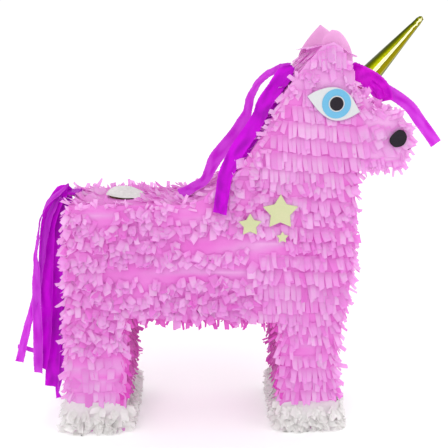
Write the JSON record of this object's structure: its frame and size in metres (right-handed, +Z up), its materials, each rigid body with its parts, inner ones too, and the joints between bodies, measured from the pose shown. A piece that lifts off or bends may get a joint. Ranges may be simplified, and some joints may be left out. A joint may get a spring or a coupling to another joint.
{
  "type": "unicorn pinata",
  "caption": "Unicorn pinata: a hollow flat cardboard shell on block legs, dressed in fringed tissue, with foil horn, paper eyes, filling door and crepe mane and tail.",
  "frame": {"origin": "middle of the footprint of the whole object, on the floor under the shell's centre plane", "axes": "+X toward the head, +Z up, -Y is the unicorn's right side"},
  "size_m": [0.5508, 0.1292, 0.5177],
  "materials": {
    "card": "matte",
    "white_paper": "matte",
    "blue_paper": "matte",
    "black_paper": "matte",
    "star_paper": "matte",
    "gold_foil": "gloss",
    "ear_paper": "matte",
    "white_tissue": "matte",
    "smooth_pink_tissue": "matte",
    "pink_fringe": "matte",
    "light_crepe": "matte",
    "magenta_crepe": "matte",
    "dark_crepe": "matte"
  },
  "bodies": {
    "shell": {"right_side_panel": "card", "left_side_panel": "card", "rump_strip": "card", "back_strip": "card", "nape_strip": "card", "crown_strip": "card", "forehead_strip": "card", "muzzle_strip": "card", "jaw_strip": "card", "chest_strip": "card", "front_sole": "card", "front_leg_inner_strip": "card", "belly_strip": "card", "rear_leg_inner_strip": "card", "rear_sole": "card", "hanger_plate": "card", "seal_glued_edge": "white_paper", "horn_core": "card", "horn_foil": "gold_foil", "right_ear": "ear_paper", "left_ear": "ear_paper", "right_eye_white": "white_paper", "right_iris": "blue_paper", "right_iris_rim": "white_paper", "right_pupil": "black_paper", "left_eye_white": "white_paper", "left_iris": "blue_paper", "left_iris_rim": "white_paper", "left_pupil": "black_paper", "right_nostril": "black_paper", "left_nostril": "black_paper", "right_stars": "star_paper", "left_stars": "star_paper", "front_hoof_tissue": "white_tissue", "rear_hoof_tissue": "white_tissue", "right_smooth_tissue": "smooth_pink_tissue", "left_smooth_tissue": "smooth_pink_tissue", "right_fringe": "pink_fringe", "left_fringe": "pink_fringe", "back_fringe": "pink_fringe", "rump_fringe": "pink_fringe", "nape_fringe": "pink_fringe", "crown_fringe": "pink_fringe", "front_fringe": "pink_fringe", "leg_and_belly_tissue": "smooth_pink_tissue", "mane_root": "dark_crepe", "forelock_root": "dark_crepe", "tail_root": "dark_crepe"},
    "filling_door": {"fill_door": "card", "seal_label": "white_paper"},
    "mane": {"mane_light": "light_crepe", "mane_dark": "magenta_crepe", "mane_fold": "dark_crepe"},
    "forelock": {"forelock_dark": "dark_crepe", "forelock_light": "light_crepe"},
    "tail": {"tail_outer": "light_crepe", "tail_curl": "light_crepe", "tail_middle": "magenta_crepe", "tail_dark": "dark_crepe", "tail_inner": "dark_crepe"}
  },
  "joints": [
    {"name": "door_fold", "type": "hinge", "parent": "shell", "child": "filling_door", "pos_m": [-0.0995, 0, 0.2981], "axis": [0, 1, 0], "range_deg": [0, 105]},
    {"name": "mane_lift", "type": "hinge", "parent": "shell", "child": "mane", "pos_m": [0.078, 0, 0.45], "axis": [0, 1, 0], "range_deg": [0, 40]},
    {"name": "forelock_lift", "type": "hinge", "parent": "shell", "child": "forelock", "pos_m": [0.152, 0, 0.45], "axis": [0, 1, 0], "range_deg": [-40, 0]},
    {"name": "tail_swing", "type": "hinge", "parent": "shell", "child": "tail", "pos_m": [-0.196, 0, 0.3], "axis": [0, 1, 0], "range_deg": [0, 60]}
  ]
}
